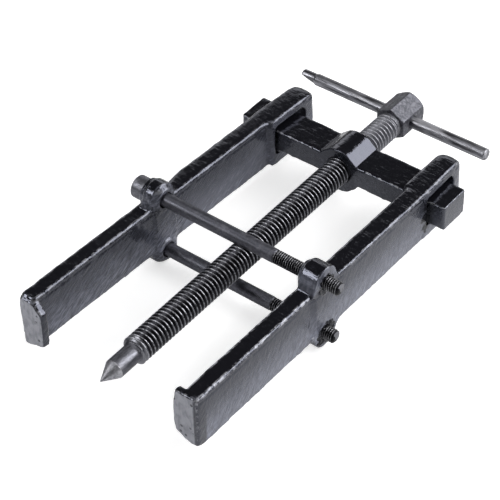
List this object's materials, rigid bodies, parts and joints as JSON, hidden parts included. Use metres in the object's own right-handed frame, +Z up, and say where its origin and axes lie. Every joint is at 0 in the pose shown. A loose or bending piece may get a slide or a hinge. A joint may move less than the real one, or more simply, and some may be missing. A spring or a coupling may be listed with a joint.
{
  "type": "two-jaw puller",
  "caption": "Hand puller with a pressing screw in a square crossbeam, forged jaws that slide on the beam, and long bolts that clamp the jaws onto a part.",
  "frame": {"origin": "middle of the box at its bottom, where the jaws' lower lugs rest", "axes": "+Y along the screw towards its hexagon, +X along the crossbeam towards the jaw that the bolts are threaded into, +Z up off the surface that the puller lies on"},
  "size_m": [0.1066, 0.2072, 0.041],
  "materials": {
    "beam_enamel": "gloss",
    "jaw_enamel": "gloss",
    "screw_steel": "satin",
    "bar_steel": "satin",
    "bolt_oxide": "satin"
  },
  "bodies": {
    "crossbeam": {"crossbeam": "beam_enamel"},
    "left_jaw": {"left_jaw": "jaw_enamel"},
    "right_jaw": {"right_jaw": "jaw_enamel"},
    "screw": {"spindle": "screw_steel"},
    "tommy_bar": {"tommy_bar": "bar_steel"},
    "upper_bolt": {"upper_clamp_bolt": "bolt_oxide"},
    "lower_bolt": {"lower_clamp_bolt": "bolt_oxide"}
  },
  "joints": [
    {"name": "left_jaw_slide", "type": "slide", "parent": "crossbeam", "child": "left_jaw", "axis": [1, 0, 0], "range_m": [-0.007, 0.007]},
    {"name": "jaw_gap_slide", "type": "slide", "parent": "left_jaw", "child": "right_jaw", "axis": [1, -0.0096, 0], "range_m": [-0.0135, 0.0045]},
    {"name": "upper_bolt_turn", "type": "hinge", "parent": "left_jaw", "child": "upper_bolt", "pos_m": [-0.04522, -0.01972, 0.034], "axis": [1, -0.0096, 0], "range_deg": [-1625, 4865]},
    {"name": "lower_bolt_turn", "type": "hinge", "parent": "left_jaw", "child": "lower_bolt", "pos_m": [-0.04722, -0.0197, 0.007], "axis": [1, -0.0096, 0], "range_deg": [-1625, 4865]},
    {"name": "screw_slide", "type": "slide", "parent": "crossbeam", "child": "screw", "axis": [0, 1, 0], "range_m": [-0.015, 0.12]},
    {"name": "tommy_bar_slide", "type": "slide", "parent": "screw", "child": "tommy_bar", "axis": [1, 0, 0], "range_m": [-0.034, 0.034]}
  ],
  "couplings": [
    {"joint": "upper_bolt_turn", "follows": "jaw_gap_slide", "rad_per_m": -6283.2},
    {"joint": "lower_bolt_turn", "follows": "jaw_gap_slide", "rad_per_m": -6283.2}
  ]
}
